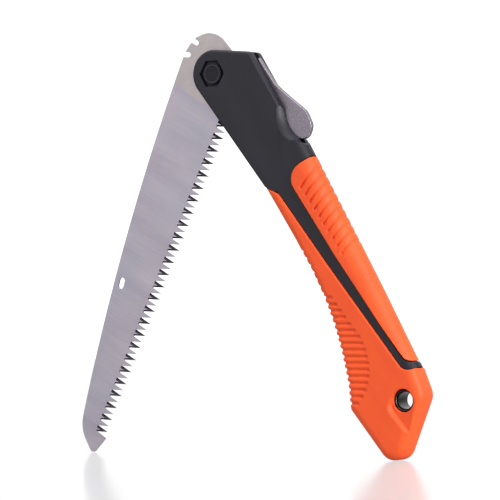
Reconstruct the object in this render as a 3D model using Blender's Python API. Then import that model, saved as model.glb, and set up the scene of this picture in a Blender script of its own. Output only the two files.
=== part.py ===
"""Folding pruning saw, half open, standing on its blade tip and its butt.

The handle is modelled lying along its own X axis, with the pivot at the origin, the butt towards +X and the spine
towards +Z. The blade is modelled the same way, with its point towards +X and its teeth towards +Z. Two empties at
the pivot then turn them to the pose in which the saw stands. Thickness runs along Y, and the nut's side is -Y.
Lengths are in millimetres here and become metres where a mesh is made.
"""

import math

import bmesh
import bpy
from mathutils import Vector

MM = 0.001
GAP = 0.3
SLIDE_GAP = 0.15

# Standing pose: the leans are from the vertical, of the handle's spine and of the line of teeth.
HANDLE_LEAN = 30.0
BLADE_LEAN = 26.5
PIVOT_X = -16.9
PIVOT_HEIGHT = 199.57

# Blade angles from the handle's axis, at which the blade is straight and tilted.
LOCK_ANGLES = (180.0, 201.0)

# Blade
BLADE_THICKNESS = 1.3
TOOTH_PITCH = 3.6
TOOTH_COUNT = 52
FIRST_TOOTH = 18.1
TOOTH_TIP = 17.7
TOOTH_ROOT = 10.9
TOOTH_FRONT = 0.5
RIM_RADIUS = 24.2
BACK_SLOPE = 0.035
BACK_CURVE = 0.00042
BACK_END = 200.0
NOTCH_WIDTH = 2.7
NOTCH_FLOOR = 18.3

# Handle
CORE_HALF = 6.6
GRIP_HALF = 7.8
INNER_HALF = 5.0
INNER_INSET = 2.7
SLOT_HALF = 2.0
HEAD_RADIUS = 12.6
LANYARD = (203.7, 14.1)

# Pivot
BOLT_RADIUS = 4.0
BOLT_HEAD_RADIUS = 7.4
BUSH_RADIUS = 5.5
BLADE_BORE = 5.8
WASHER_RADIUS = 10.0
CHEEK_FLOOR = 3.2
NUT_FLATS = 13.0
NUT_RECESS_FLATS = 13.5
COLLAR_RADIUS = 5.85

# Lock lever
LEVER_THICKNESS = 3.0
LEVER_PIN = (30.0, 22.5)
LEVER_PIN_RADIUS = 1.5
TOOTH_U = 9.4
SPRING_U = 50.0


def clear_scene():
    for item in list(bpy.data.objects):
        bpy.data.objects.remove(item)


def material(name, colour, roughness, metallic=0.0):
    made = bpy.data.materials.new(name)
    made.use_nodes = True
    shader = made.node_tree.nodes["Principled BSDF"]
    shader.inputs["Base Color"].default_value = (*colour, 1.0)
    shader.inputs["Roughness"].default_value = roughness
    shader.inputs["Metallic"].default_value = metallic
    return made


def arc(centre, radius, start, end, steps):
    """Points of an arc, from the start angle to the end angle in degrees."""
    points = []
    for step in range(steps + 1):
        angle = math.radians(start + (end - start) * step / steps)
        points.append((centre[0] + radius * math.cos(angle), centre[1] + radius * math.sin(angle)))
    return points


def rounded(corners, degrees_per_step=12.0):
    """An outline from corners (x, z, radius), each corner with a radius turned into an arc."""
    points = []
    for index, (x, z, radius) in enumerate(corners):
        corner = Vector((x, z))
        if radius == 0:
            points.append((x, z))
            continue
        back = (Vector(corners[index - 1][:2]) - corner).normalized()
        ahead = (Vector(corners[(index + 1) % len(corners)][:2]) - corner).normalized()
        half = back.angle(ahead) / 2
        centre = corner + (back + ahead).normalized() * (radius / math.sin(half))
        first = corner + back * (radius / math.tan(half)) - centre
        last = corner + ahead * (radius / math.tan(half)) - centre
        start = math.degrees(math.atan2(first.y, first.x))
        sweep = (math.degrees(math.atan2(last.y, last.x)) - start + 180.0) % 360.0 - 180.0
        steps = max(1, round(abs(sweep) / degrees_per_step))
        points += arc(centre, radius, start, start + sweep, steps)
    return points


def offset(outline, distance):
    """The outline moved outwards by a distance, or inwards by a negative one. It runs anticlockwise."""
    moved = []
    for index, point in enumerate(outline):
        here = Vector(point)
        before = (here - Vector(outline[index - 1])).normalized()
        after = (Vector(outline[(index + 1) % len(outline)]) - here).normalized()
        side_a = Vector((before.y, -before.x))
        side_b = Vector((after.y, -after.x))
        middle = (side_a + side_b).normalized()
        moved.append(tuple(here + middle * (distance / max(0.3, middle.dot(side_a)))))
    return moved


def loft(name, near, near_y, far, far_y, parent, finish=None):
    """A closed solid between two outlines with equally many points, at two places along Y."""
    mesh = bpy.data.meshes.new(name)
    shape = bmesh.new()
    near_ring = [shape.verts.new((x * MM, near_y * MM, z * MM)) for x, z in near]
    far_ring = [shape.verts.new((x * MM, far_y * MM, z * MM)) for x, z in far]
    shape.faces.new(near_ring)
    shape.faces.new(far_ring)
    for index in range(len(near)):
        after = (index + 1) % len(near)
        shape.faces.new((near_ring[index], near_ring[after], far_ring[after], far_ring[index]))
    bmesh.ops.recalc_face_normals(shape, faces=shape.faces)
    shape.to_mesh(mesh)
    shape.free()
    solid = bpy.data.objects.new(name, mesh)
    bpy.context.scene.collection.objects.link(solid)
    solid.parent = parent
    if finish:
        mesh.materials.append(finish)
        mesh.shade_smooth()
        mesh.set_sharp_from_angle(angle=math.radians(32))
    else:
        solid.hide_render = True
        solid.display_type = "WIRE"
    return solid


def plate(name, outline, near_y, far_y, parent, finish=None):
    return loft(name, outline, near_y, outline, far_y, parent, finish)


def disc(name, centre, radius, near_y, far_y, parent, finish=None, sides=32):
    outline = arc(centre, radius, 0.0, 360.0 * (sides - 1) / sides, sides - 1)
    return plate(name, outline, near_y, far_y, parent, finish)


def hexagon(flats):
    return arc((0.0, 0.0), flats / math.sqrt(3), 0.0, 300.0, 5)


def combine(target, other, operation="DIFFERENCE"):
    step = target.modifiers.new(other.name, "BOOLEAN")
    step.operation = operation
    step.solver = "EXACT"
    step.object = other


def soften(target, width, segments):
    step = target.modifiers.new("rounded_edges", "BEVEL")
    step.width = width * MM
    step.segments = segments
    step.limit_method = "ANGLE"
    step.angle_limit = math.radians(60)
    step.use_clamp_overlap = False


def pivot_frame(name, turn):
    """An empty at the pivot, turned about Y."""
    frame = bpy.data.objects.new(name, None)
    frame.location = (PIVOT_X * MM, 0.0, PIVOT_HEIGHT * MM)
    frame.rotation_euler = (0.0, math.radians(turn), 0.0)
    bpy.context.scene.collection.objects.link(frame)
    return frame


# Outlines in the handle's frame, anticlockwise seen from -Y.

def handle_outline():
    """The whole handle from the side: belly, butt, spine and head."""
    corners = [
        (68.2, -2.6, 0), (80.0, -1.9, 0), (100.0, -0.7, 0), (120.0, -0.2, 0), (135.0, -0.9, 0), (150.0, -3.0, 0),
        (165.0, -6.3, 0), (180.0, -10.8, 0), (192.0, -16.2, 5.5),
        (233.7, -9.1, 7.9), (207.1, 25.3, 8.0),
        (190.0, 27.6, 0), (150.0, 28.4, 0), (120.0, 28.6, 0), (61.8, 28.6, 2.4),
        (58.5, 26.6, 0), (34.0, 26.3, 0), (2.4, 25.1, 2.4),
    ]
    head = arc((0.0, 0.0), HEAD_RADIUS, 145.4, 278.0, 12)
    return rounded(corners + [(*head[0], 0)]) + head[1:]


def grip_outline():
    """The handle's outline past the head, which the grips fill."""
    return [(60.0, -3.4)] + [point for point in handle_outline() if point[0] > 66.0] + [(60.0, 28.6)]


def back_grip_region():
    return rounded([
        (66.6, 40.0, 0), (69.4, 24.0, 0), (69.6, 12.4, 8.5), (120.6, 16.8, 0), (160.6, 21.5, 0),
        (188.6, 25.0, 5.0), (189.6, 40.0, 0),
    ])


def butt_grip_region():
    return rounded([
        (68.4, -30.0, 0), (240.0, -30.0, 0), (240.0, 40.0, 0), (193.0, 40.0, 0), (192.2, 21.6, 6.0),
        (160.6, 16.5, 0), (120.6, 9.9, 0), (76.0, 3.4, 8.0), (68.4, -2.4, 0),
    ])


def blade_channel():
    """The slot that takes the folded blade and, at the head, the lever."""
    return [
        (-20.0, -40.0), (218.5, -40.0), (218.5, 4.0), (212.0, 9.2), (60.0, 17.4), (43.5, 17.4), (43.5, 18.7),
        (60.0, 18.7), (60.0, 40.0), (-20.0, 40.0),
    ]


def lever_outline():
    """Nose, tooth, hub round the pin, pad and the straight top of the arm."""
    pin_u, pin_v = LEVER_PIN
    tooth_front = TOOTH_U - 1.0
    tooth_back = TOOTH_U + 1.0
    hub = arc(LEVER_PIN, 4.2, 215.0, 300.0, 6)
    pad = rounded([
        (43.0, 22.4, 0), (53.5, 22.8, 3.0), (59.4, 29.6, 4.6), (54.6, 35.9, 6.0), (46.0, 36.6, 8.0),
        (31.0, 30.4, 10.0), (24.0, 27.8, 0),
    ])
    return [(tooth_front, 23.1), (tooth_back, 22.3), (tooth_back, 24.2), (14.0, 22.1), (18.5, 20.2)] + hub + pad + [
        (8.6, 26.3), (6.6, 26.1), (tooth_front, 25.2)]


# Outline in the blade's frame, anticlockwise seen from -Y.

def back_edge(x):
    return -RIM_RADIUS + BACK_SLOPE * x + BACK_CURVE * x * x


def blade_outline():
    """Back, point, teeth from the point to the heel, and the tang's rim."""
    back = [(x, back_edge(x)) for x in range(0, int(BACK_END) + 1, 20)]
    land = FIRST_TOOTH + TOOTH_COUNT * TOOTH_PITCH + TOOTH_FRONT
    point = rounded([(BACK_END, back_edge(BACK_END), 0), (208.5, 1.6, 18.0), (217.2, 14.5, 2.0),
                     (land, 18.3, 0)])[1:]
    teeth = []
    for index in reversed(range(TOOTH_COUNT)):
        root = FIRST_TOOTH + index * TOOTH_PITCH
        teeth += [(root + TOOTH_PITCH, TOOTH_ROOT), (root + TOOTH_FRONT, TOOTH_TIP)]
    heel = [(FIRST_TOOTH, TOOTH_ROOT), (12.0, 13.2), (0.0, 13.2), (-8.0, 10.2), (-14.8, 1.5)]
    tang = arc((-5.5, -9.5), 12.8, 155.0, 232.0, 8)
    rim = arc((0.0, 0.0), RIM_RADIUS, 239.0, 268.0, 6)
    return back + point + teeth + heel + tang + rim


def make_handle(frame):
    nylon = material("black_nylon", (0.042, 0.040, 0.054), 0.5)
    rubber = material("orange_rubber", (0.9, 0.13, 0.035), 0.55)
    outline = handle_outline()
    inner = offset(outline, -INNER_INSET)
    inner_gap = offset(outline, GAP - INNER_INSET)
    tall = CORE_HALF + 5.0

    inner_block = plate("inner_block", inner, -INNER_HALF, INNER_HALF, frame)
    inner_room = plate("inner_room", inner_gap, -INNER_HALF - GAP, INNER_HALF + GAP, frame)
    channel = plate("blade_channel", blade_channel(), -SLOT_HALF, SLOT_HALF, frame)
    lanyard_hole = disc("lanyard_hole", LANYARD, 5.9, -tall, tall, frame)

    core = plate("handle_core", outline, -CORE_HALF, CORE_HALF, frame, nylon)
    soften(core, 1.9, 3)
    for name, region in (("back_bed", back_grip_region()), ("butt_bed", butt_grip_region())):
        bed = plate(name, offset(region, GAP), -tall, tall, frame)
        combine(bed, inner_block)
        combine(core, bed)
    combine(core, channel)
    combine(core, lanyard_hole)
    combine(core, disc("bolt_hole", (0.0, 0.0), 4.3, -tall, tall, frame))
    combine(core, disc("bolt_recess", (0.0, 0.0), 8.0, CHEEK_FLOOR, tall, frame))
    combine(core, plate("nut_recess", hexagon(NUT_RECESS_FLATS), -tall, -CHEEK_FLOOR, frame))
    combine(core, disc("lever_pin_hole", LEVER_PIN, LEVER_PIN_RADIUS + SLIDE_GAP, -4.7, 4.7, frame, sides=20))
    scoop_top = [(60.5, 40.0), (34.0, 40.0), (34.0, 28.5)]
    scoop_inside = [(38.5, 26.4), (43.0, 25.0), (48.0, 24.4), (53.0, 25.2), (57.0, 27.8)] + scoop_top
    scoop_outside = [(37.0, 24.6), (41.5, 22.4), (47.0, 21.2), (52.0, 22.2), (57.0, 26.0)] + scoop_top
    for side, name in ((-1, "near_scoop"), (1, "far_scoop")):
        scoop = loft(name, scoop_inside, side * 1.6, scoop_outside, side * 7.0, frame)
        combine(core, scoop)

    for name, region in (("back_grip", back_grip_region()), ("butt_grip", butt_grip_region())):
        grip = plate(name, grip_outline(), -GRIP_HALF, GRIP_HALF, frame, rubber)
        soften(grip, 4.6, 3)
        combine(grip, plate(name + "_region", region, -tall, tall, frame), "INTERSECT")
        combine(grip, inner_room)
        if name == "butt_grip":
            combine(grip, channel)
            combine(grip, lanyard_hole)

    bush = disc("lanyard_bush", LANYARD, 5.6, -5.8, 5.8, frame, material("black_acetal", (0.01, 0.01, 0.012), 0.3))
    soften(bush, 0.6, 2)
    combine(bush, disc("lanyard_bore", LANYARD, 4.2, -tall, tall, frame))


def make_pivot(frame):
    black_steel = material("blacked_steel", (0.02, 0.02, 0.024), 0.42, 0.9)
    steel = material("zinc_steel", (0.55, 0.56, 0.58), 0.35, 1.0)
    acetal = material("white_acetal", (0.75, 0.74, 0.7), 0.5)
    nylon = material("ring_nylon", (0.03, 0.03, 0.035), 0.5)
    centre = (0.0, 0.0)
    through = disc("bolt_clearance", centre, BOLT_RADIUS + SLIDE_GAP, -20.0, 20.0, frame)

    bolt = disc("pivot_bolt", centre, BOLT_RADIUS, -6.3, 4.5, frame, black_steel)
    head = disc("bolt_head_blank", centre, BOLT_HEAD_RADIUS, 4.1, 6.4, frame)
    soften(head, 0.8, 2)
    combine(bolt, head, "UNION")
    combine(bolt, plate("hex_key_socket", hexagon(5.0), 5.0, 8.0, frame))

    washer = disc("bolt_washer", centre, 7.7, 3.35, 3.95, frame, steel)
    combine(washer, through)

    nut = plate("pivot_nut", hexagon(NUT_FLATS), -5.2, -3.35, frame, black_steel)
    collar = disc("collar_blank", centre, COLLAR_RADIUS, -6.45, -4.5, frame)
    soften(collar, 0.5, 2)
    combine(nut, collar, "UNION")
    combine(nut, through)
    combine(nut, disc("ring_seat", centre, 5.1, -8.0, -5.4, frame))
    ring = disc("nut_lock_ring", centre, 4.95, -6.35, -5.55, frame, nylon)
    combine(ring, through)

    sleeve = disc("pivot_bush", centre, BUSH_RADIUS, -1.85, 1.85, frame, steel)
    combine(sleeve, through)
    bore = disc("washer_bore", centre, BUSH_RADIUS + GAP, -20.0, 20.0, frame)
    inside = BLADE_THICKNESS / 2 + SLIDE_GAP
    outside = SLOT_HALF - SLIDE_GAP
    for name, near_y, far_y in (("near_washer", -outside, -inside), ("far_washer", inside, outside)):
        combine(disc(name, centre, WASHER_RADIUS, near_y, far_y, frame, acetal), bore)


def make_lever(frame):
    pin = bpy.data.objects.new("lever_axis", None)
    pin.parent = frame
    pin.location = (LEVER_PIN[0] * MM, 0.0, LEVER_PIN[1] * MM)
    bpy.context.scene.collection.objects.link(pin)
    half = LEVER_THICKNESS / 2
    own = [(u - LEVER_PIN[0], v - LEVER_PIN[1]) for u, v in lever_outline()]
    lever = plate("lock_lever", own, -half, half, pin, material("satin_steel", (0.34, 0.32, 0.35), 0.45, 0.8))
    soften(lever, 0.35, 1)
    combine(lever, disc("lever_bore", (0.0, 0.0), LEVER_PIN_RADIUS + 0.2, -9.0, 9.0, pin, sides=20))
    steel = material("pin_steel", (0.5, 0.5, 0.52), 0.3, 1.0)
    disc("lever_pin", LEVER_PIN, LEVER_PIN_RADIUS, -4.5, 4.5, frame, steel, sides=20)
    make_spring(frame)


def make_spring(frame):
    """A compression coil under the thumb pad, wound about the handle's Z axis."""
    wire, radius, low, high, turns, per_turn = 0.28, 1.25, 19.4, 21.9, 3, 10
    spring = bpy.data.curves.new("lever_spring", "CURVE")
    spring.dimensions = "3D"
    spring.bevel_depth = wire * MM
    spring.bevel_resolution = 1
    spring.use_fill_caps = True
    line = spring.splines.new("POLY")
    count = turns * per_turn + 1
    line.points.add(count - 1)
    for index in range(count):
        angle = 2 * math.pi * index / per_turn
        height = low + (high - low) * index / (count - 1)
        place = ((SPRING_U + radius * math.cos(angle)) * MM, radius * math.sin(angle) * MM, height * MM)
        line.points[index].co = (*place, 1.0)
    coil = bpy.data.objects.new("lever_spring", spring)
    coil.parent = frame
    spring.materials.append(material("spring_steel", (0.45, 0.45, 0.47), 0.3, 1.0))
    bpy.context.scene.collection.objects.link(coil)


def make_blade(frame):
    half = BLADE_THICKNESS / 2
    steel = material("ground_steel", (0.47, 0.44, 0.49), 0.38, 0.85)
    blade = plate("blade", blade_outline(), -half, half, frame, steel)
    combine(blade, disc("blade_bore", (0.0, 0.0), BLADE_BORE, -9.0, 9.0, frame, sides=40))
    hole = rounded([(-3.1, -1.8, 1.75), (3.1, -1.8, 1.75), (3.1, 1.8, 1.75), (-3.1, 1.8, 1.75)], 30.0)
    slot = plate("hang_slot", hole, -9.0, 9.0, frame)
    slot.location = (125.9 * MM, 0.0, -8.4 * MM)
    slot.rotation_euler = (0.0, math.radians(-8.0), 0.0)
    combine(blade, slot)
    reach = NOTCH_WIDTH / 2
    notch = [(TOOTH_U + reach, 30.0), (TOOTH_U - reach, 30.0)]
    notch += arc((TOOTH_U, NOTCH_FLOOR + reach), reach, 180.0, 360.0, 8)
    for number, angle in enumerate(LOCK_ANGLES, 1):
        cutter = plate("notch_%d" % number, notch, -9.0, 9.0, frame)
        cutter.rotation_euler = (0.0, -math.radians(angle), 0.0)
        combine(blade, cutter)


clear_scene()
handle_frame = pivot_frame("handle_frame", 90.0 - HANDLE_LEAN)
blade_frame = pivot_frame("blade_frame", 90.0 + BLADE_LEAN)
make_handle(handle_frame)
make_pivot(handle_frame)
make_lever(handle_frame)
make_blade(blade_frame)
bpy.context.view_layer.update()
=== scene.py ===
"""Looks for the folding pruning saw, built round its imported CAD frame.

Each piece is made lying down, in the handle's or the blade's own directions with the pivot at the origin, and is then
seated in the standing pose. X runs along the piece, Z towards the handle's spine or the blade's teeth, and Y across,
with the nut's side at -Y. Lying pieces are in millimetres, and seating turns them to metres.
"""

import math

import bmesh
import bpy
from mathutils import Matrix, Vector


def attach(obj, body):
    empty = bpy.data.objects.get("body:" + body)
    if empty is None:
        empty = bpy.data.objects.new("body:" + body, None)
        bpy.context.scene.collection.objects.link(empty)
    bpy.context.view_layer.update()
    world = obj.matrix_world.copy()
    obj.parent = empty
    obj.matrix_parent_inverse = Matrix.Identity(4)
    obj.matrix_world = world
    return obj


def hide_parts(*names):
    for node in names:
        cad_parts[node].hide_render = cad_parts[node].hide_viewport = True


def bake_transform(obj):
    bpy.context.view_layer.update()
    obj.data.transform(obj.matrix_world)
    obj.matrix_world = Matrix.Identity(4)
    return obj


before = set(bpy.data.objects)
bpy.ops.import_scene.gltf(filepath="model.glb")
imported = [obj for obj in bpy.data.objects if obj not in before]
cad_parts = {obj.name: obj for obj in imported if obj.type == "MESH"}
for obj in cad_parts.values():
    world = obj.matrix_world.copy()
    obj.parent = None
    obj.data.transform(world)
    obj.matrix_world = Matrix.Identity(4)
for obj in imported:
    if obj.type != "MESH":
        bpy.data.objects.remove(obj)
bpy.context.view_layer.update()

MM = 0.001
MERGE = 0.0005

# Places shared with the CAD
PIVOT = (-16.9, 0.0, 199.57)
HANDLE_TURN = 60.0
BLADE_TURN = 116.5
CORE_HALF = 6.6
GRIP_HALF = 7.8
INNER_HALF = 5.0
INNER_INSET = 2.7
INNER_ROUND = 4.6
GAP = 0.3
GROOVE_GAP = 0.6
SLOT_HALF = 2.0
HEAD_RADIUS = 12.6
LANYARD = (203.7, 14.1)
LEVER_PIN = (30.0, 22.5)
TOOTH_U = 9.4
BLADE_HALF = 0.65
GROUND_HALF = 0.6
RIM_RADIUS = 24.2
TOOTH_PITCH = 3.6
TOOTH_COUNT = 52
FIRST_TOOTH = 18.1
TOOTH_TIP = 17.7
TOOTH_ROOT = 10.9
TOOTH_FRONT = 0.5
LOCK_ANGLES = (180.0, 201.0)
NOTCH_HALF = 1.35
NOTCH_FLOOR = 18.3
HANG_SLOT = (125.9, -8.4)
HANG_LEAN = 8.0
LANYARD_SEAT = 5.9
BOLT_HOLE = 4.3
HEAD_RECESS = 8.0
NUT_RECESS_FLATS = 13.5
RECESS_FLOOR = 3.2
BELLY_CORNER = (192.0, -16.2)
BUTT_CORNER = (233.7, -9.1)

# Cutters reach this far across, past both faces
PAST_HANDLE = 12.0
PAST_BLADE = 9.0


# ---------------------------------------------------------------- outlines

def arc(centre, radius, start, end, steps):
    """Points of an arc, from the start angle to the end angle in degrees."""
    points = []
    for step in range(steps + 1):
        angle = math.radians(start + (end - start) * step / steps)
        points.append((centre[0] + radius * math.cos(angle), centre[1] + radius * math.sin(angle)))
    return points


def rounded(corners, degrees_per_step=6.0):
    """An outline from corners (x, z, radius), each corner with a radius turned into an arc."""
    points = []
    for index, (x, z, radius) in enumerate(corners):
        corner = Vector((x, z))
        if radius == 0:
            points.append((x, z))
            continue
        back = (Vector(corners[index - 1][:2]) - corner).normalized()
        ahead = (Vector(corners[(index + 1) % len(corners)][:2]) - corner).normalized()
        half = back.angle(ahead) / 2
        centre = corner + (back + ahead).normalized() * (radius / math.sin(half))
        first = corner + back * (radius / math.tan(half)) - centre
        last = corner + ahead * (radius / math.tan(half)) - centre
        start = math.degrees(math.atan2(first.y, first.x))
        sweep = (math.degrees(math.atan2(last.y, last.x)) - start + 180.0) % 360.0 - 180.0
        steps = max(1, round(abs(sweep) / degrees_per_step))
        points += arc(centre, radius, start, start + sweep, steps)
    return points


def offset(outline, distance):
    """The outline moved outwards by a distance, or inwards by a negative one. It runs anticlockwise."""
    moved = []
    for index, point in enumerate(outline):
        here = Vector(point)
        before = (here - Vector(outline[index - 1])).normalized()
        after = (Vector(outline[(index + 1) % len(outline)]) - here).normalized()
        side_a = Vector((before.y, -before.x))
        side_b = Vector((after.y, -after.x))
        middle = (side_a + side_b).normalized()
        moved.append(tuple(here + middle * (distance / max(0.3, middle.dot(side_a)))))
    return moved


def circle(centre, radius, sides):
    return arc(centre, radius, 0.0, 360.0 * (sides - 1) / sides, sides - 1)


BELLY = [(68.2, -2.6), (80.0, -1.9), (100.0, -0.7), (120.0, -0.2), (135.0, -0.9), (150.0, -3.0), (165.0, -6.3),
         (180.0, -10.8)]
SPINE = [(190.0, 27.6), (150.0, 28.4), (120.0, 28.6)]


def head_round():
    return arc((0.0, 0.0), HEAD_RADIUS, 145.4, 278.0, 30)


def handle_outline():
    corners = [(x, z, 0) for x, z in BELLY] + [(*BELLY_CORNER, 5.5), (*BUTT_CORNER, 7.9), (207.1, 25.3, 8.0)]
    corners += [(x, z, 0) for x, z in SPINE]
    corners += [(61.8, 28.6, 2.4), (58.5, 26.6, 0), (34.0, 26.3, 0), (2.4, 25.1, 2.4)]
    head = head_round()
    return rounded(corners + [(*head[0], 0)]) + head[1:]


def inner_outline(inset):
    """The core's outline under the grips, moved inwards."""
    past_head = [point for point in offset(handle_outline(), -inset) if point[0] > 66.0]
    return [(62.0, -3.1 + inset)] + past_head + [(62.0, 28.6 - inset)]


def back_grip_region():
    return rounded([
        (66.6, 40.0, 0), (69.4, 24.0, 0), (69.6, 12.4, 8.5), (120.6, 16.8, 0), (160.6, 21.5, 0),
        (188.6, 25.0, 5.0), (189.6, 40.0, 0),
    ])


def butt_grip_region():
    return rounded([
        (68.4, -30.0, 0), (240.0, -30.0, 0), (240.0, 40.0, 0), (193.0, 40.0, 0), (192.2, 21.6, 6.0),
        (160.6, 16.5, 0), (120.6, 9.9, 0), (76.0, 3.4, 8.0), (68.4, -2.4, 0),
    ])


def blade_channel():
    return [
        (-20.0, -40.0), (218.5, -40.0), (218.5, 4.0), (212.0, 9.2), (60.0, 17.4), (43.5, 17.4), (43.5, 18.7),
        (60.0, 18.7), (60.0, 40.0), (-20.0, 40.0),
    ]


# ---------------------------------------------------------------- bench tools

def bare():
    """Nothing is selected, so an operator works only on what is added next."""
    bpy.ops.object.select_all(action="DESELECT")


def only(piece):
    bare()
    piece.select_set(True)
    bpy.context.view_layer.objects.active = piece


def pick(piece, kind, wanted):
    """In edit mode, selects the points, edges or faces for which wanted() is true."""
    only(piece)
    bpy.ops.object.mode_set(mode="EDIT")
    bpy.ops.mesh.select_mode(type=kind)
    bpy.ops.mesh.select_all(action="DESELECT")
    shape = bmesh.from_edit_mesh(piece.data)
    for part in {"VERT": shape.verts, "EDGE": shape.edges, "FACE": shape.faces}[kind]:
        if wanted(part):
            part.select_set(True)
    bmesh.update_edit_mesh(piece.data)


def put_down():
    bpy.ops.object.mode_set(mode="OBJECT")


def trace(points):
    """Extrudes one point along a closed run of points, and joins the ends."""
    for start, end in zip(points, points[1:] + points[:1]):
        step = tuple(there - here for here, there in zip(start, end))
        bpy.ops.mesh.extrude_region_move(TRANSFORM_OT_translate={"value": step})


def seed(name, point):
    """A single point to draw from, in edit mode."""
    bare()
    bpy.ops.mesh.primitive_plane_add(size=1.0, location=point)
    piece = bpy.context.object
    piece.name = name
    bpy.ops.object.mode_set(mode="EDIT")
    bpy.ops.mesh.select_mode(type="VERT")
    bpy.ops.mesh.select_all(action="SELECT")
    bpy.ops.mesh.merge(type="CENTER")
    return piece


def merge_all():
    bpy.ops.mesh.select_all(action="SELECT")
    bpy.ops.mesh.remove_doubles(threshold=MERGE)


def close_up(piece):
    """Loose ends merged, faces turned outwards, and the piece's place put in its mesh."""
    merge_all()
    bpy.ops.mesh.normals_make_consistent(inside=False)
    put_down()
    only(piece)
    bpy.ops.object.transform_apply(location=True, rotation=True, scale=True)


def flat(outline, y):
    """An outline's points at a depth."""
    return [(x, y, z) for x, z in outline]


def plate(name, outline, near, far):
    """An outline drawn by extruding a point round it, then filled and extruded across."""
    points = flat(outline, near)
    piece = seed(name, points[0])
    trace(points)
    merge_all()
    bpy.ops.mesh.edge_face_add()
    bpy.ops.mesh.extrude_region_move(TRANSFORM_OT_translate={"value": (0.0, far - near, 0.0)})
    close_up(piece)
    return piece


def loft(name, rings, axis):
    """A closed solid through flat rings of equally many points, each at its own place along the axis (0 for X, 1 for
    Y). Every ring is drawn, then bridged to the next."""
    piece = seed(name, rings[0][0])
    trace(rings[0])
    for last, ring in zip(rings, rings[1:]):
        step = tuple(there - here for here, there in zip(last[0], ring[0]))
        bpy.ops.mesh.duplicate_move(TRANSFORM_OT_translate={"value": step})
        trace(ring)
    merge_all()
    put_down()
    only(piece)
    bpy.ops.object.transform_apply(location=True, rotation=True, scale=True)

    def at(*places):
        def wanted(edge):
            ends = [vert.co[axis] for vert in edge.verts]
            return any(all(abs(end - place) < 0.005 for end in ends) for place in places)
        return wanted

    places = [ring[0][axis] for ring in rings]
    for first, second in zip(places, places[1:]):
        pick(piece, "EDGE", at(first, second))
        bpy.ops.mesh.bridge_edge_loops()
        put_down()
    for place in (places[0], places[-1]):
        pick(piece, "EDGE", at(place))
        bpy.ops.mesh.edge_face_add()
        put_down()
    only(piece)
    bpy.ops.object.mode_set(mode="EDIT")
    close_up(piece)
    return piece


def bar(name, stations, half, low_radius, high_radius):
    """A long rounded bar through stations (x, low z, high z), with one radius along its foot and one along its top."""
    rings = []
    for x, low, high in stations:
        section = rounded([(-half, low, low_radius), (half, low, low_radius), (half, high, high_radius),
                           (-half, high, high_radius)])
        rings.append([(x, y, z) for y, z in section])
    return loft(name, rings, 0)


def pillow(name, outline, half, radius, steps):
    """A plate whose two rims are rounded: its outline is drawn smaller and smaller towards each face."""
    rings = []
    for side in (-1, 1):
        turns = range(steps + 1) if side < 0 else range(steps, -1, -1)
        for step in turns:
            angle = math.radians(90.0 * step / steps)
            inset = radius * (1.0 - math.sin(angle))
            rings.append(flat(offset(outline, -inset), side * (half - radius + radius * math.cos(angle))))
    return loft(name, rings, 1)


def turned(name, centre, profile, steps=96):
    """A ring turned round the Y axis through centre, from a closed profile of (radius, y) points."""
    points = [(centre[0] + radius, y, centre[1]) for radius, y in profile]
    piece = seed(name, points[0])
    trace(points)
    merge_all()
    bpy.ops.mesh.spin(
        steps=steps, angle=2 * math.pi, center=(centre[0], 0.0, centre[1]), axis=(0.0, 1.0, 0.0))
    close_up(piece)
    return piece


def finish_with(piece, kind, **settings):
    """Adds a modifier with its settings and applies it."""
    only(piece)
    step = piece.modifiers.new(kind.lower(), kind)
    for setting, value in settings.items():
        setattr(step, setting, value)
    bpy.ops.object.modifier_apply(modifier=step.name)


def trim(piece, cutter, operation="DIFFERENCE", crossing=False):
    """Cuts, keeps or adds the cutter's volume, and uses up the cutter. Crossing is for one that runs into itself."""
    finish_with(piece, "BOOLEAN", operation=operation, solver="EXACT", use_self=crossing, object=cutter)
    bpy.data.objects.remove(cutter)


def trim_all(piece, cutters):
    """Cuts several shapes away at once."""
    only(cutters[0])
    for cutter in cutters:
        cutter.select_set(True)
    bpy.ops.object.join()
    trim(piece, cutters[0], crossing=True)


def soften(piece, grain, rounds, triangles):
    """Rebuilds a rubber piece on an even grid and relaxes it, so that every edge has a moulded radius, then thins it
    to a number of triangles."""
    finish_with(piece, "REMESH", mode="VOXEL", voxel_size=grain, adaptivity=0.0)
    finish_with(piece, "SMOOTH", factor=0.5, iterations=rounds)
    share = triangles / (2.0 * len(piece.data.polygons))
    if share < 1.0:
        finish_with(piece, "DECIMATE", ratio=share)


def seat(piece, turn):
    """Brings a lying piece from millimetres to metres and turns it to the standing pose about the pivot."""
    only(piece)
    place = Matrix.Translation(Vector(PIVOT) * MM) @ Matrix.Rotation(math.radians(turn), 4, "Y")
    piece.matrix_world = place @ Matrix.Scale(MM, 4)
    bpy.ops.object.transform_apply(location=True, rotation=True, scale=True)


def shade(piece, angle=None):
    only(piece)
    if angle is None:
        bpy.ops.object.shade_smooth()
        return
    bpy.ops.object.shade_smooth_by_angle(angle=math.radians(angle))
    finish_with(piece, "WEIGHTED_NORMAL", mode="FACE_AREA", weight=50, keep_sharp=True)


def wear(piece, *materials):
    piece.data.materials.clear()
    for material in materials:
        piece.data.materials.append(material)


def hand_over(piece, body, slot, *nodes):
    """The finished piece rides a body and stands for CAD nodes, which are hidden. The slot is not used."""
    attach(piece, body)
    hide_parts(*nodes)


# ---------------------------------------------------------------- materials

def linear(code):
    """A linear colour from an sRGB hex code."""
    channels = []
    for place in (0, 2, 4):
        value = int(code[place:place + 2], 16) / 255.0
        channels.append(value / 12.92 if value <= 0.04045 else ((value + 0.055) / 1.055) ** 2.4)
    return (*channels, 1.0)


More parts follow.
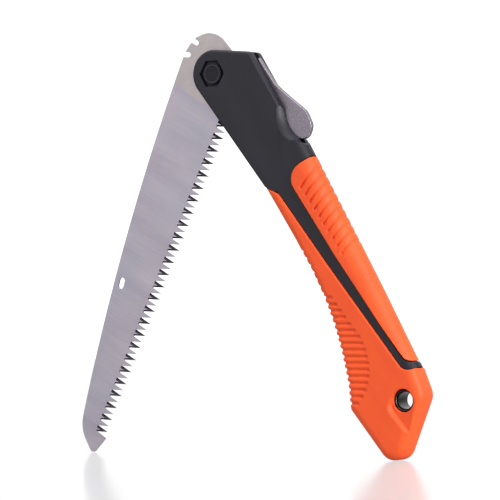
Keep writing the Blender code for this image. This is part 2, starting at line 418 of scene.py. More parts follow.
def add(tree, kind, inputs=None, **settings):
    """A node with its settings. An input is a value, or a pair of another node and the name of its output."""
    made = tree.nodes.new(kind)
    for setting, value in settings.items():
        setattr(made, setting, value)
    for socket, value in (inputs or {}).items():
        if isinstance(value, tuple) and isinstance(value[0], bpy.types.Node):
            tree.links.new(value[0].outputs[value[1]], made.inputs[socket])
        else:
            made.inputs[socket].default_value = value
    return made


def blank(name):
    """A material with its node tree and its shader."""
    material = bpy.data.materials.new(name)
    material.use_nodes = True
    tree = material.node_tree
    return material, tree, tree.nodes["Principled BSDF"]


def lying(tree, turn):
    """Object coordinates turned back to a piece's own lying directions, in metres."""
    place = add(tree, "ShaderNodeTexCoord")
    return add(tree, "ShaderNodeMapping", {
        "Vector": (place, "Object"),
        "Location": tuple(value * MM for value in PIVOT),
        "Rotation": (0.0, math.radians(turn), 0.0),
    }, vector_type="TEXTURE")


def stretched(tree, source, grain):
    """Coordinates counted in grains, whose size along each direction is given in millimetres."""
    return add(tree, "ShaderNodeMapping", {
        "Vector": (source, "Vector"),
        "Scale": tuple(1.0 / (size * MM) for size in grain),
    }, vector_type="POINT")


def noise(tree, coordinates, detail=2.0, roughness=0.5):
    return add(tree, "ShaderNodeTexNoise", {
        "Vector": (coordinates, "Vector"), "Scale": 1.0, "Detail": detail, "Roughness": roughness})


def span(tree, source, output, low, high, start=0.3, stop=0.7):
    """A value mapped from its usual noise range to low..high."""
    return add(tree, "ShaderNodeMapRange", {
        "Value": (source, output), "From Min": start, "From Max": stop, "To Min": low, "To Max": high})


def tint(tree, factor, output, first, second):
    return add(tree, "ShaderNodeMix", {
        0: (factor, output), 6: linear(first), 7: linear(second)}, data_type="RGBA")


def shades(tree, source, first, second):
    """Two colours mixed by a noise."""
    return tint(tree, span(tree, source, "Fac", 0.0, 1.0), "Result", first, second)


def multiplied(tree, first, second):
    """One mixed colour multiplied by another."""
    return add(tree, "ShaderNodeMix", {0: 1.0, 6: (first, 2), 7: (second, 2)}, data_type="RGBA",
               blend_type="MULTIPLY")


def bump(tree, height, output, depth, strength):
    return add(tree, "ShaderNodeBump", {
        "Height": (height, output), "Distance": depth * MM, "Strength": strength})


def join(tree, shader, **sources):
    """Links a node's output to each named shader input."""
    for socket, (source, output) in sources.items():
        tree.links.new(source.outputs[output], shader.inputs[socket.replace("_", " ")])


def spark_grained_nylon():
    """Glass-filled nylon moulded against a spark-eroded tool: charcoal, matt, with a fine even grain and faint flow
    shades along the handle."""
    material, tree, shader = blank("glass_filled_nylon")
    place = lying(tree, HANDLE_TURN)
    flow = noise(tree, stretched(tree, place, (40.0, 9.0, 9.0)), 3.0)
    grain = noise(tree, stretched(tree, place, (0.35, 0.35, 0.35)), 2.0)
    colour = shades(tree, flow, "13111c", "1b1925")
    join(tree, shader, Base_Color=(colour, 2), Roughness=(span(tree, grain, "Fac", 0.42, 0.54), "Result"),
         Normal=(bump(tree, grain, "Fac", 0.03, 0.35), "Normal"))
    shader.inputs["IOR"].default_value = 1.5
    shader.inputs["Specular IOR Level"].default_value = 0.42
    return material


def moulded_rubber():
    """Thermoplastic rubber moulded over the nylon: soft orange, matt, with a fine grain and slow shade changes."""
    material, tree, shader = blank("thermoplastic_rubber")
    place = lying(tree, HANDLE_TURN)
    drift = noise(tree, stretched(tree, place, (26.0, 12.0, 12.0)), 3.0)
    grain = noise(tree, stretched(tree, place, (0.4, 0.4, 0.4)), 2.0)
    colour = shades(tree, drift, "ee5019", "f6581b")
    join(tree, shader, Base_Color=(colour, 2), Roughness=(span(tree, grain, "Fac", 0.5, 0.64), "Result"),
         Normal=(bump(tree, grain, "Fac", 0.03, 0.4), "Normal"))
    shader.inputs["IOR"].default_value = 1.47
    return material


def ground_steel():
    """Carbon steel strip, surface-ground across the blade: fine lines along the teeth's direction, with broad
    shades where the wheel's pressure changed."""
    material, tree, shader = blank("ground_carbon_steel")
    place = lying(tree, BLADE_TURN)
    lines = noise(tree, stretched(tree, place, (0.32, 4.0, 26.0)), 3.0, 0.6)
    bands = noise(tree, stretched(tree, place, (11.0, 30.0, 60.0)), 2.0)
    patches = noise(tree, stretched(tree, place, (22.0, 30.0, 16.0)), 2.0)
    pinkish = shades(tree, patches, "c9c0c9", "c0bec8")
    banded = shades(tree, bands, "ffffff", "eeedf1")
    colour = multiplied(tree, pinkish, banded)
    streaked = multiplied(tree, colour, shades(tree, lines, "eae8ec", "ffffff"))
    join(tree, shader, Base_Color=(streaked, 2), Roughness=(span(tree, lines, "Fac", 0.36, 0.48), "Result"),
         Normal=(bump(tree, lines, "Fac", 0.01, 0.25), "Normal"))
    shader.inputs["Metallic"].default_value = 1.0
    return material


def rolled_steel():
    """The tang, left as rolled and hardened: a shade warmer and duller than the ground faces."""
    material, tree, shader = blank("rolled_carbon_steel")
    place = lying(tree, BLADE_TURN)
    haze = noise(tree, stretched(tree, place, (6.0, 6.0, 6.0)), 3.0)
    pits = noise(tree, stretched(tree, place, (0.5, 0.5, 0.5)), 2.0)
    colour = shades(tree, haze, "c2b8b8", "b8b0b4")
    join(tree, shader, Base_Color=(colour, 2), Roughness=(span(tree, pits, "Fac", 0.42, 0.5), "Result"),
         Normal=(bump(tree, pits, "Fac", 0.01, 0.2), "Normal"))
    shader.inputs["Metallic"].default_value = 1.0
    return material


def facet_shade_steel():
    """Tooth bevels: steel painted near black, as painted shade and dark reflection on the slanted facets, with a
    random mottle in colour and gloss.
    """
    material, tree, shader = blank("facet_painted_shade_steel")
    place = lying(tree, BLADE_TURN)
    facet_mottle = noise(tree, stretched(tree, place, (1.2, 1.2, 2.5)), 2.0)
    # Near-black painted shade for the slanted tooth facets.
    colour = shades(tree, facet_mottle, "2a262c", "47424c")
    join(tree, shader, Base_Color=(colour, 2), Roughness=(span(tree, facet_mottle, "Fac", 0.34, 0.5), "Result"))
    shader.inputs["Metallic"].default_value = 1.0
    return material


def tumbled_steel():
    """The lever, fine-blanked from strip and tumbled: satin, with a fine speckle from the stones."""
    material, tree, shader = blank("tumbled_steel")
    place = lying(tree, HANDLE_TURN)
    speckle = noise(tree, stretched(tree, place, (0.7, 0.7, 0.7)), 3.0, 0.7)
    haze = noise(tree, stretched(tree, place, (7.0, 7.0, 7.0)), 2.0)
    light = shades(tree, speckle, "7f7881", "b4adb8")
    colour = multiplied(tree, light, shades(tree, haze, "f0eef0", "ffffff"))
    join(tree, shader, Base_Color=(colour, 2), Roughness=(span(tree, speckle, "Fac", 0.4, 0.55), "Result"),
         Normal=(bump(tree, speckle, "Fac", 0.03, 0.3), "Normal"))
    shader.inputs["Metallic"].default_value = 1.0
    return material


def plain_metal(name, dark, light, rough, grain):
    """A turned or drawn metal part: metallic, with a fine mottle in colour and gloss."""
    material, tree, shader = blank(name)
    place = lying(tree, HANDLE_TURN)
    mottle = noise(tree, stretched(tree, place, (grain, grain, grain)), 3.0)
    colour = shades(tree, mottle, dark, light)
    join(tree, shader, Base_Color=(colour, 2), Roughness=(span(tree, mottle, "Fac", *rough), "Result"),
         Normal=(bump(tree, mottle, "Fac", 0.02, 0.3), "Normal"))
    shader.inputs["Metallic"].default_value = 1.0
    return material


def plain_plastic(name, dark, light, rough, grain, ior):
    """A small moulded plastic part: slight shade changes and a fine grain."""
    material, tree, shader = blank(name)
    place = lying(tree, HANDLE_TURN)
    mottle = noise(tree, stretched(tree, place, (grain, grain, grain)), 2.0)
    colour = shades(tree, mottle, dark, light)
    join(tree, shader, Base_Color=(colour, 2), Roughness=(span(tree, mottle, "Fac", *rough), "Result"),
         Normal=(bump(tree, mottle, "Fac", 0.02, 0.25), "Normal"))
    shader.inputs["IOR"].default_value = ior
    return material


# ---------------------------------------------------------------- handle

def inner_block(name, spare):
    """The core under the grips, rounded along the spine as they are, or with spare space the room made for it."""
    half = INNER_HALF + spare
    block = plate(name, inner_outline(INNER_INSET - spare), -half, half)
    top = -INNER_INSET + spare
    stations = [(60.0, -40.0, 28.6 + top), (120.0, -40.0, 28.6 + top), (150.0, -40.0, 28.4 + top),
                (190.0, -40.0, 27.6 + top), (240.0, -40.0, 27.6 + top)]
    trim(block, bar("round", stations, half, 1.0, INNER_ROUND + spare), "INTERSECT")
    return block


def fit_grip(grip, region):
    """A rubber grip's blank, kept inside its region and hollowed to fit over the core."""
    trim(grip, plate("region", region, -PAST_HANDLE, PAST_HANDLE), "INTERSECT")
    trim(grip, inner_block("inner_room", GAP))


TUBE_TIP = ((0.92, 0.3), (0.75, 0.66), (0.4, 0.92))


def tube(name, points, radii):
    """A bar with tapered ends along a run of (x, y, z) points, each with its own radius."""
    bare()
    bpy.ops.curve.primitive_nurbs_path_add(location=(0.0, 0.0, 0.0))
    path = bpy.context.object
    path.name = name
    path.data.splines.clear()
    line = path.data.splines.new("POLY")
    line.points.add(len(points) - 1)
    for knot, place, radius in zip(line.points, points, radii):
        knot.co = (*place, 1.0)
        knot.radius = radius
    path.data.bevel_depth = 1.0
    path.data.bevel_resolution = 4
    path.data.use_fill_caps = True
    path.data.resolution_u = 1
    only(path)
    bpy.ops.object.convert(target="MESH")
    bar_mesh = bpy.context.object
    bpy.ops.object.mode_set(mode="EDIT")
    close_up(bar_mesh)
    return bar_mesh


SPINE_RADIUS = 7.4
SPINE_TOP = 28.6
GROOVE_LEAN = 0.47
GROOVE_COUNT = 10
GROOVE_PITCH = 4.61
FIRST_GROOVE = (80.4, 17.3)
GROOVE_CLIMB = 0.1
SWELL_RISE = 3.0


def spine_groove(name, low_u, low_v, thin, wide, depth):
    """A groove's cutter: up the near side from its round lower end, over the spine and down the far side. Its radius
    grows from thin to wide, and its depth is given at the lower end and at the spine."""
    crown_v = SPINE_TOP - SPINE_RADIUS
    level = GRIP_HALF - SPINE_RADIUS
    half = []
    for step in range(19):
        share = step / 18
        radius = thin + (wide - thin) * share
        out = radius - (depth[0] + (depth[1] - depth[0]) * share)
        if step <= 8:
            half.append((low_v + (crown_v - low_v) * step / 8, -(GRIP_HALF + out), radius))
        else:
            angle = math.radians(9.0 * (step - 8))
            reach = SPINE_RADIUS + out
            half.append((crown_v + reach * math.sin(angle), -(level + reach * math.cos(angle)), radius))
    first_v, first_y, radius = half[0]
    ends = [(first_v - back * radius, first_y, radius * share) for back, share in TUBE_TIP]
    half = ends + half
    whole = half + [(v, -y, radius) for v, y, radius in reversed(half[:-1])]
    points = [(low_u - GROOVE_LEAN * (v - low_v), y, v) for v, y, radius in whole]
    return tube(name, points, [radius for v, y, radius in whole])


def make_back_grip(rubber):
    stations = [(60.0, 4.0, 28.6), (120.0, 4.0, 28.6), (150.0, 4.0, 28.4), (190.0, 4.0, 27.6), (198.0, 4.0, 27.3)]
    grip = bar("spine_grip", stations, GRIP_HALF, 1.0, SPINE_RADIUS)
    fit_grip(grip, back_grip_region())
    first_u, first_v = FIRST_GROOVE
    for number in range(GROOVE_COUNT):
        u = first_u + GROOVE_PITCH * number
        v = first_v + GROOVE_CLIMB * (u - first_u)
        swell = spine_groove("swell_%d" % number, u - GROOVE_LEAN * SWELL_RISE, v + SWELL_RISE, 0.6, 2.9, (0.02, 0.42))
        trim(grip, swell, crossing=True)
        trim(grip, spine_groove("groove_%d" % number, u, v, 0.85, 0.75, (1.3, 0.8)), crossing=True)
    soften(grip, grain=0.28, rounds=2, triangles=180000)
    shade(grip)
    wear(grip, rubber)
    seat(grip, HANDLE_TURN)
    hand_over(grip, "handle", "orange_rubber", "back_grip")


BELLY_ROUND = 4.6
SLOT_ENDS = [
    (138.3, 4.2), (142.7, 4.8), (146.8, 5.5), (150.9, 6.1), (155.3, 6.8), (159.5, 7.4), (163.6, 8.2), (167.4, 8.2),
    (171.0, 7.7), (174.5, 6.9), (177.7, 6.0), (180.6, 4.4), (183.5, 2.7), (186.1, 0.4), (188.5, -2.2),
    (190.5, -5.6), (192.2, -9.5),
]
SLOT_DIRECTION = Vector((0.5, 0.866))
SLOT_DEPTH = 0.85


def belly_drop(point):
    """Distance from a point to the belly line, measured square to it."""
    line = [Vector(p) for p in BELLY] + [Vector(BELLY_CORNER)]
    best = 99.0
    for a, b in zip(line, line[1:]):
        along = max(0.0, min(1.0, (point - a).dot(b - a) / (b - a).length_squared))
        best = min(best, (point - (a + (b - a) * along)).length)
    return best


def belly_meets(point):
    """Where a level line from a point meets the belly."""
    line = [Vector(p) for p in BELLY + [BELLY_CORNER, BUTT_CORNER]]
    for step in range(1, 1200):
        here = point - SLOT_DIRECTION * (step * 0.05)
        for a, b in zip(line, line[1:]):
            if a.x <= here.x <= b.x and here.y <= a.y + (b.y - a.y) * (here.x - a.x) / (b.x - a.x):
                return here
    return point


def belly_slot(name, end, side, radius, depth):
    """A slot's cutter: from its round end on the side face, over the rounded belly edge, to the channel."""
    start = Vector(end)
    foot = belly_meets(start)
    length = (start - foot).length
    places = []
    steps = 26
    for step in range(steps + 1):
        here = start + (foot - start) * step / steps
        drop = belly_drop(here) if step < steps else 0.0
        if drop >= BELLY_ROUND:
            places.append((here, GRIP_HALF + radius - depth, radius))
            continue
        swing = math.asin(min(1.0, (BELLY_ROUND - drop) / BELLY_ROUND))
        reach = radius - depth
        outward = Vector((here.x - start.x, here.y - start.y)).normalized() * reach * math.sin(swing)
        across = GRIP_HALF - BELLY_ROUND + (BELLY_ROUND + reach) * math.cos(swing)
        places.append((here + outward, across, radius))
    last = places[-1]
    places.append((last[0], SLOT_HALF - 1.0, radius))
    places = [(start + SLOT_DIRECTION * back * radius, places[0][1], radius * share)
              for back, share in TUBE_TIP] + places
    points = [(here.x, side * across, here.y) for here, across, radius in places]
    return tube(name, points, [radius for here, across, radius in places])


def make_butt_grip(rubber):
    outline = [(60.0, -3.4)] + [point for point in handle_outline() if point[0] > 66.0] + [(60.0, 28.6)]
    grip = pillow("belly_grip", outline, GRIP_HALF, BELLY_ROUND, 10)
    fit_grip(grip, butt_grip_region())
    trim(grip, plate("channel", blade_channel(), -SLOT_HALF, SLOT_HALF))
    trim(grip, plate("lanyard_hole", circle(LANYARD, LANYARD_SEAT, 64), -PAST_HANDLE, PAST_HANDLE))
    for side in (-1, 1):
        slots = [belly_slot("slot", end, side, 0.98, SLOT_DEPTH) for end in SLOT_ENDS]
        for number in range(7):
            u = 108.6 + 4.15 * number
            edge = (u + 0.5 * 1.2, -0.4 - 0.004 * max(0.0, u - 118.0) ** 1.5 + 1.4)
            slots.append(belly_slot("nick", edge, side, 1.0, 0.5))
        trim_all(grip, slots)
        trim(grip, lanyard_recess(side))
    soften(grip, grain=0.32, rounds=4, triangles=190000)
    shade(grip)
    wear(grip, rubber)
    seat(grip, HANDLE_TURN)
    hand_over(grip, "handle", "orange_rubber", "butt_grip")


def lanyard_recess(side):
    """The cord's recess: a rounded triangle beside the ring, with a steep wall and a floor that rises to its far
    corner."""
    rim = rounded([(196.2, 13.4, 5.5), (202.6, 4.4, 5.0), (226.5, 8.9, 1.2), (211.0, 25.2, 2.6)], 15.0)
    rings = [flat(offset(rim, 1.6), side * 10.2), flat(rim, side * 8.1), flat(offset(rim, -0.9), side * 6.5)]
    recess = loft("recess", rings, 1)
    centre = Vector((204.0, side * 6.5, 13.0))
    turn = Matrix.Translation(centre) @ Matrix.Rotation(math.radians(-6.5 * side), 4, "X") @ \
        Matrix.Translation(-centre)
    only(recess)
    recess.matrix_world = turn
    bpy.ops.object.transform_apply(location=True, rotation=True, scale=True)
    return recess


def scoop(side):
    """The dished chamfer round the thumb pad, with a rolled outer lip."""
    top = [(62.5, 40.0), (34.0, 40.0), (33.5, 30.0)]
    inside = [(37.5, 27.2), (40.5, 25.7), (44.0, 24.7), (48.0, 24.3), (52.0, 24.8), (55.5, 26.4), (58.0, 28.4)]
    outside = [(36.4, 25.2), (39.6, 23.1), (43.4, 21.6), (47.4, 21.1), (51.6, 21.6), (55.4, 23.6), (58.3, 26.6)]

    def ring(share, spread):
        """Between the inside and outside lines, then moved away from the pad."""
        points = []
        for (a, b), (c, d) in zip(inside, outside):
            place = Vector((a + (c - a) * share, b + (d - b) * share))
            away = (place - Vector((48.0, 32.0))).normalized()
            points.append(tuple(place + away * spread))
        return points + top

    depths = [(1.0, 0.0, 0.0), (2.6, 0.12, 0.0), (4.0, 0.36, 0.0), (5.0, 0.62, 0.0), (5.6, 0.82, 0.0),
              (6.0, 0.97, 0.02), (6.3, 1.0, 0.28), (6.5, 1.0, 0.62), (6.62, 1.0, 1.15), (7.6, 1.0, 5.0)]
    return loft("scoop", [flat(ring(share, spread), side * y) for y, share, spread in depths], 1)


def make_core(nylon):
    head = head_round()
    outline = rounded([(68.2, -2.6, 0), (75.0, -2.2, 0), (75.0, 10.0, 0), (50.0, 20.0, 0), (50.0, 26.5, 0),
                       (34.0, 26.3, 0), (2.4, 25.1, 2.4), (*head[0], 0)]) + head[1:]
    core = pillow("handle_body", outline, CORE_HALF, 1.9, 6)
    stations = [(45.0, 3.0, 28.6), (120.0, 3.0, 28.6), (150.0, 3.0, 28.4), (188.8, 3.0, 27.65), (190.2, 3.0, 28.15),
                (192.4, 3.0, 28.05), (193.8, 3.0, 27.4), (197.0, 3.0, 27.2)]
    rear = bar("rear", stations, CORE_HALF, 1.0, 6.3)
    pad_room = [(40.0, 26.6), (58.5, 26.6), (61.4, 28.4), (61.7, 40.0), (40.0, 40.0)]
    trim(rear, plate("pad_room", pad_room, -PAST_HANDLE, PAST_HANDLE))
    trim(core, rear, "UNION")
    trim(core, scoop(-1))
    trim(core, scoop(1))
    for region, gap in ((back_grip_region(), GROOVE_GAP), (butt_grip_region(), GAP)):
        trim(core, plate("bed", offset(region, gap), -PAST_HANDLE, PAST_HANDLE))
    trim(core, inner_block("inner_block", 0.0), "UNION")
    trim(core, plate("channel", blade_channel(), -SLOT_HALF, SLOT_HALF))
    trim(core, plate("lanyard_hole", circle(LANYARD, LANYARD_SEAT, 64), -PAST_HANDLE, PAST_HANDLE))
    trim(core, plate("bolt_hole", circle((0.0, 0.0), BOLT_HOLE, 64), -PAST_HANDLE, PAST_HANDLE))
    trim(core, plate("bolt_recess", circle((0.0, 0.0), HEAD_RECESS, 96), RECESS_FLOOR, PAST_HANDLE))
    hexagon = arc((0.0, 0.0), NUT_RECESS_FLATS / math.sqrt(3), 0.0, 300.0, 5)
    trim(core, plate("nut_recess", hexagon, -PAST_HANDLE, -RECESS_FLOOR))
    trim(core, plate("pin_hole", circle(LEVER_PIN, 1.65, 32), -4.7, 4.7))
    shade(core, 34.0)
    wear(core, nylon)
    seat(core, HANDLE_TURN)
    hand_over(core, "handle", "black_nylon", "handle_core")


def make_lanyard_ring(acetal):
    """A glossy flanged eyelet with rolled lips."""
    profile = [(4.3, -4.2), (4.5, -5.1), (4.75, -5.6), (5.05, -5.8), (5.35, -5.7), (5.6, -5.3)]
    profile += [(radius, -y) for radius, y in reversed(profile)]
    ring = turned("lanyard_ring", LANYARD, profile)
    shade(ring, 40.0)
    wear(ring, acetal)
    seat(ring, HANDLE_TURN)
    hand_over(ring, "handle", "black_acetal", "lanyard_bush")


# ---------------------------------------------------------------- lever

def make_lever(steel):
    hub = arc(LEVER_PIN, 4.2, 215.0, 300.0, 12)
    pad = rounded([
        (43.0, 22.4, 0), (53.5, 22.8, 3.0), (59.4, 29.6, 4.6), (54.6, 35.9, 6.0), (46.0, 36.6, 8.0),
        (31.0, 30.4, 10.0), (24.0, 27.8, 0),
    ], 5.0)
    tooth = [(8.4, 23.1), (10.4, 22.3), (10.4, 24.2), (14.0, 22.1), (18.5, 20.2)]
    outline = tooth + hub + pad + [(8.6, 26.3), (6.6, 26.1), (8.4, 25.2)]
    lever = pillow("lock_lever_plate", outline, 1.5, 0.6, 5)
    trim(lever, plate("pin_bore", circle(LEVER_PIN, 1.7, 40), -PAST_BLADE, PAST_BLADE))
    shade(lever, 40.0)
    wear(lever, steel)
    seat(lever, HANDLE_TURN)
    hand_over(lever, "lever", "lever_steel", "lock_lever")


SPRING_U = 50.0
SPRING_LOW = 19.4
SPRING_HIGH = 21.9
SPRING_TURNS = 3


def make_coil(steel):
    """The spring under the thumb pad: a wire's section screwed upwards."""
    bare()
    bpy.ops.mesh.primitive_circle_add(
        vertices=12, radius=0.28, location=(1.25, 0.0, 0.0), rotation=(math.radians(90.0), 0.0, 0.0))
    coil = bpy.context.object
    coil.name = "pad_spring"
    bpy.ops.object.transform_apply(location=True, rotation=True, scale=True)
    finish_with(coil, "SCREW", axis="Z", angle=2 * math.pi, iterations=SPRING_TURNS, steps=24, render_steps=24,
                screw_offset=(SPRING_HIGH - SPRING_LOW) / SPRING_TURNS)
    coil.location = (SPRING_U, 0.0, SPRING_LOW)
    bpy.ops.object.mode_set(mode="EDIT")
    bpy.ops.mesh.select_all(action="SELECT")
    bpy.ops.mesh.fill_holes(sides=0)
    close_up(coil)
    shade(coil, 40.0)
    wear(coil, steel)
    seat(coil, HANDLE_TURN)
    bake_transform(coil)
    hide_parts("lever_spring")


# ---------------------------------------------------------------- blade

GULLET = 0.1
EDGE_DEPTH = 0.42
FRONT_BEVEL = 1.15
BACK_BEVEL = 0.93


def back_edge(x):
    return -RIM_RADIUS + 0.035 * x + 0.00042 * x * x


def tooth_row(depth):
    """The teeth from the point back to the heel, as they are at a depth across the blade. Odd teeth are ground from
    the near side and even ones from the far side, so their flanks lie further in towards that face."""
    points = []
    for index in reversed(range(TOOTH_COUNT)):
        root = FIRST_TOOTH + index * TOOTH_PITCH
        side = 1 if index % 2 == 0 else -1
        ground = max(0.0, (side * depth + EDGE_DEPTH) / (GROUND_HALF + EDGE_DEPTH))
        front, back = root + GULLET + FRONT_BEVEL * ground, root + TOOTH_PITCH - GULLET - BACK_BEVEL * ground
        front_lean = TOOTH_FRONT - GULLET
        back_lean = TOOTH_FRONT - TOOTH_PITCH + GULLET
        height = (TOOTH_TIP - TOOTH_ROOT) * (back - front) / (front_lean - back_lean)
        tip = (front + front_lean * height / (TOOTH_TIP - TOOTH_ROOT), TOOTH_ROOT + height)
        points += [(back, TOOTH_ROOT), tip, (front, TOOTH_ROOT)]
    return points


def make_blade(ground, rolled, shaded_facets):
    back = [(float(x), back_edge(x)) for x in range(0, 201, 10)]
    land = FIRST_TOOTH + TOOTH_COUNT * TOOTH_PITCH + TOOTH_FRONT
    point = rounded([(200.0, back_edge(200.0), 0), (208.5, 1.6, 18.0), (217.2, 14.5, 2.0), (land, 18.3, 0)])[1:]
    heel = [(FIRST_TOOTH - 1.0, TOOTH_ROOT + 0.3), (12.0, 13.2), (0.0, 13.2), (-8.0, 10.2), (-14.8, 1.5)]
    tang = arc((-5.5, -9.5), 12.8, 155.0, 232.0, 16)
    rim = arc((0.0, 0.0), RIM_RADIUS, 239.0, 268.0, 12)
    depths = (-BLADE_HALF, -EDGE_DEPTH, EDGE_DEPTH, BLADE_HALF)
    rings = [flat(back + point + tooth_row(depth) + heel + tang + rim, depth) for depth in depths]
    blade = loft("saw_blade", rings, 1)

    ground_edge = arc((-40.0, -4.0), 57.6, -28.0, 22.0, 16)
    zone = ground_edge + [(230.0, 30.0), (230.0, -40.0), (ground_edge[0][0], -40.0)]
    for side in (-1, 1):
        trim(blade, plate("grinding", zone, side * GROUND_HALF, side * 3.0))

    trim(blade, plate("bore", circle((0.0, 0.0), 5.8, 64), -PAST_BLADE, PAST_BLADE))
    hole = rounded([(-3.1, -1.8, 1.75), (3.1, -1.8, 1.75), (3.1, 1.8, 1.75), (-3.1, 1.8, 1.75)], 12.0)
    lean = math.radians(HANG_LEAN)
    hole = [(HANG_SLOT[0] + x * math.cos(lean) - z * math.sin(lean),
             HANG_SLOT[1] + x * math.sin(lean) + z * math.cos(lean)) for x, z in hole]
    trim(blade, plate("hang_slot", hole, -PAST_BLADE, PAST_BLADE))
    notch = [(TOOTH_U + NOTCH_HALF, 30.0), (TOOTH_U - NOTCH_HALF, 30.0)]
    notch += arc((TOOTH_U, NOTCH_FLOOR + NOTCH_HALF), NOTCH_HALF, 180.0, 360.0, 16)
    for angle in LOCK_ANGLES:
        turn = math.radians(angle)
        turned_notch = [(x * math.cos(turn) - z * math.sin(turn), x * math.sin(turn) + z * math.cos(turn))
                        for x, z in notch]
        trim(blade, plate("notch", turned_notch, -PAST_BLADE, PAST_BLADE))

    shade(blade, 20.0)
    wear(blade, ground, rolled, shaded_facets)
    # Slanted tooth facets take the near-black steel, which is painted shade. Faces left thicker than the ground ones
    # take the rolled steel.
    for face in blade.data.polygons:
        centre = face.center
        slanted = 0.15 < abs(face.normal.y) < 0.97
        in_teeth = centre.z > TOOTH_ROOT - 0.2 and 17.0 < centre.x < land
        if slanted and in_teeth:
            face.material_index = 2
        elif abs(centre.y) > (BLADE_HALF + GROUND_HALF) / 2:
            face.material_index = 1
    seat(blade, BLADE_TURN)
    hand_over(blade, "blade", "blade_steel", "blade")


# ---------------------------------------------------------------- studio

WHITE = (1.0, 1.0, 1.0, 1.0)


def make_floor():
    """A wide white table, lit from inside and faintly glossy. It looks whiter than the light it gives."""
    bare()
    bpy.ops.mesh.primitive_circle_add(vertices=96, radius=9.0, fill_type="NGON", location=(0.0, 0.0, -0.0002))
    floor = bpy.context.object
    floor.name = "floor"
    bpy.ops.object.transform_apply(location=True, rotation=True, scale=True)
    material, tree, _ = blank("backlit_opal_acrylic")
    place = add(tree, "ShaderNodeTexCoord")
    cloud = add(tree, "ShaderNodeTexNoise", {"Vector": (place, "Object"), "Scale": 3.0})
    rays = add(tree, "ShaderNodeLightPath")
    level = add(tree, "ShaderNodeMapRange", {"Value": (rays, "Is Camera Ray"), "To Min": 0.42, "To Max": 1.04})
    strength = add(tree, "ShaderNodeMath", {
        0: (level, "Result"), 1: (span(tree, cloud, "Fac", 1.0, 1.01), "Result")}, operation="MULTIPLY")
    glow = add(tree, "ShaderNodeEmission", {"Color": WHITE, "Strength": (strength, "Value")})
    gloss = add(tree, "ShaderNodeBsdfGlossy", {"Roughness": 0.14})
    both = add(tree, "ShaderNodeMixShader", {0: 0.4, 1: (glow, "Emission"), 2: (gloss, "BSDF")})
    tree.links.new(both.outputs["Shader"], tree.nodes["Material Output"].inputs["Surface"])
    wear(floor, material)


def make_card():
    """A white card behind the saw for the table to mirror."""
    bare()
    bpy.ops.mesh.primitive_plane_add(size=1.0, location=(-1.2, 2.0, 1.2), rotation=(math.radians(90.0), 0.0, 0.5))
    card = bpy.context.object
    card.name = "backdrop"
    card.scale = (7.0, 2.6, 1.0)
    bpy.ops.object.transform_apply(location=True, rotation=True, scale=True)
    material, tree, _ = blank("backlit_paper")
    glow = add(tree, "ShaderNodeEmission", {"Color": WHITE, "Strength": 1.3})
    tree.links.new(glow.outputs["Emission"], tree.nodes["Material Output"].inputs["Surface"])
    wear(card, material)


def softbox(name, azimuth, elevation, distance, size, power):
    """An area light aimed at the saw. Azimuth turns from the front towards the right."""
    light = bpy.data.lights.new(name, "AREA")
    light.shape = "RECTANGLE"
    light.size, light.size_y = size
    light.energy = power
    lamp = bpy.data.objects.new(name, light)
    bpy.context.scene.collection.objects.link(lamp)
    turn, rise = math.radians(azimuth), math.radians(elevation)
    way = Vector((math.sin(turn) * math.cos(rise), -math.cos(turn) * math.cos(rise), math.sin(rise)))
    target = Vector((0.0, 0.0, 0.11))
    lamp.location = target + way * distance
    lamp.rotation_euler = way.to_track_quat("Z", "Y").to_euler()
    lamp.visible_camera = False


def make_lights():
    """A white room seen by the camera, dimmer as a source, with three softboxes."""
    bpy.context.scene.view_settings.view_transform = "Standard"
    world = bpy.data.worlds.new("white_room")
    bpy.context.scene.world = world
    world.use_nodes = True
    tree = world.node_tree
    backdrop = tree.nodes["Background"]
    backdrop.inputs["Color"].default_value = WHITE
    backdrop.inputs["Strength"].default_value = 1.0
    room = add(tree, "ShaderNodeBackground", {"Color": WHITE, "Strength": 0.34})
    rays = add(tree, "ShaderNodeLightPath")
    both = add(tree, "ShaderNodeMixShader", {
        0: (rays, "Is Camera Ray"), 1: (room, "Background"), 2: (backdrop, "Background")})
    tree.links.new(both.outputs["Shader"], tree.nodes["World Output"].inputs["Surface"])
    softbox("front_left_softbox", azimuth=-38.0, elevation=22.0, distance=2.2, size=(2.2, 2.4), power=13.0)
    softbox("overhead_softbox", azimuth=20.0, elevation=82.0, distance=2.4, size=(3.4, 3.4), power=70.0)
    softbox("right_strip", azimuth=77.0, elevation=2.0, distance=1.6, size=(0.3, 1.8), power=46.0)


CAMERA_LENS = 207.22
CAMERA_PLACE = (825.83, -1250.49, 83.52)
CAMERA_AZIMUTH = 33.384
CAMERA_ELEVATION = -0.902
CAMERA_ROLL = 0.538


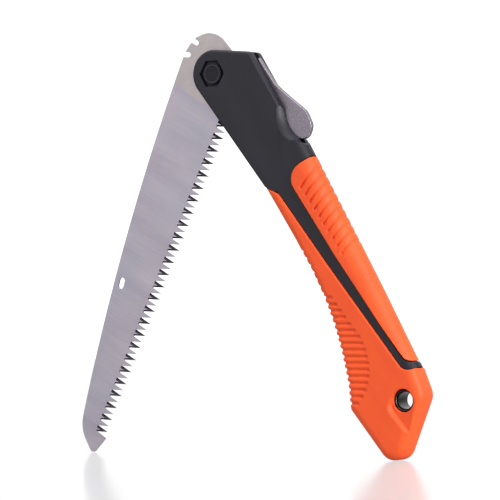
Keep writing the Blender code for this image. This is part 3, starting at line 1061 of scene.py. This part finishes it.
def make_camera():
    """A long lens, level with the lower part of the handle, to the right of the saw's flat side."""
    camera = bpy.data.cameras.new("camera")
    camera.sensor_width = 36.0
    camera.lens = CAMERA_LENS
    camera.clip_end = 100.0
    stand = bpy.data.objects.new("camera", camera)
    bpy.context.scene.collection.objects.link(stand)
    turn, rise, roll = (math.radians(angle) for angle in (CAMERA_AZIMUTH, CAMERA_ELEVATION, CAMERA_ROLL))
    back = Vector((math.sin(turn) * math.cos(rise), -math.cos(turn) * math.cos(rise), math.sin(rise)))
    right = Vector((math.cos(turn), math.sin(turn), 0.0))
    up = back.cross(right)
    tilted_right = right * math.cos(roll) - up * math.sin(roll)
    tilted_up = up * math.cos(roll) + right * math.sin(roll)
    place = Matrix((tilted_right, tilted_up, back)).transposed().to_4x4()
    place.translation = Vector(CAMERA_PLACE) * MM
    stand.matrix_world = place
    bpy.context.scene.camera = stand


# ---------------------------------------------------------------- assembly

nylon = spark_grained_nylon()
rubber = moulded_rubber()
make_core(nylon)
make_back_grip(rubber)
make_butt_grip(rubber)
make_lanyard_ring(plain_plastic("polished_acetal", "08080a", "0e0e11", (0.16, 0.24), 1.5, 1.48))
make_lever(tumbled_steel())
make_coil(plain_metal("hardened_spring_wire", "8f9095", "b4b5ba", (0.24, 0.36), 0.5))
# The third finish is the tooth facets' near-black painted shade.
make_blade(ground_steel(), rolled_steel(), facet_shade_steel())

cad_finishes = {
    # Phosphated and oiled steel: near black, with a soft sheen.
    ("pivot_nut", "pivot_bolt"): plain_metal("phosphated_steel", "26252a", "3a393f", (0.4, 0.52), 0.8),
    # Nylon locking insert: black and slightly waxy.
    ("nut_lock_ring",): plain_plastic("natural_black_nylon", "141318", "201f25", (0.42, 0.55), 0.6, 1.53),
    # Zinc-plated steel: bright and cool, with a faint mottle.
    ("bolt_washer", "pivot_bush"): plain_metal("zinc_plated_steel", "a9adb2", "c9ccd0", (0.26, 0.38), 1.2),
    # Acetal washers: milky white and waxy.
    ("near_washer", "far_washer"): plain_plastic("white_acetal", "dcd9d0", "ebe8df", (0.34, 0.44), 1.0, 1.48),
    # Drawn and hardened pin wire: bright, with a fine mottle.
    ("lever_pin",): plain_metal("drawn_pin_steel", "8f9095", "b4b5ba", (0.24, 0.36), 0.5),
}
for names, finish in cad_finishes.items():
    for name in names:
        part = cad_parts[name]
        for place in part.material_slots:
            place.material = finish

make_floor()
make_card()
make_lights()
make_camera()
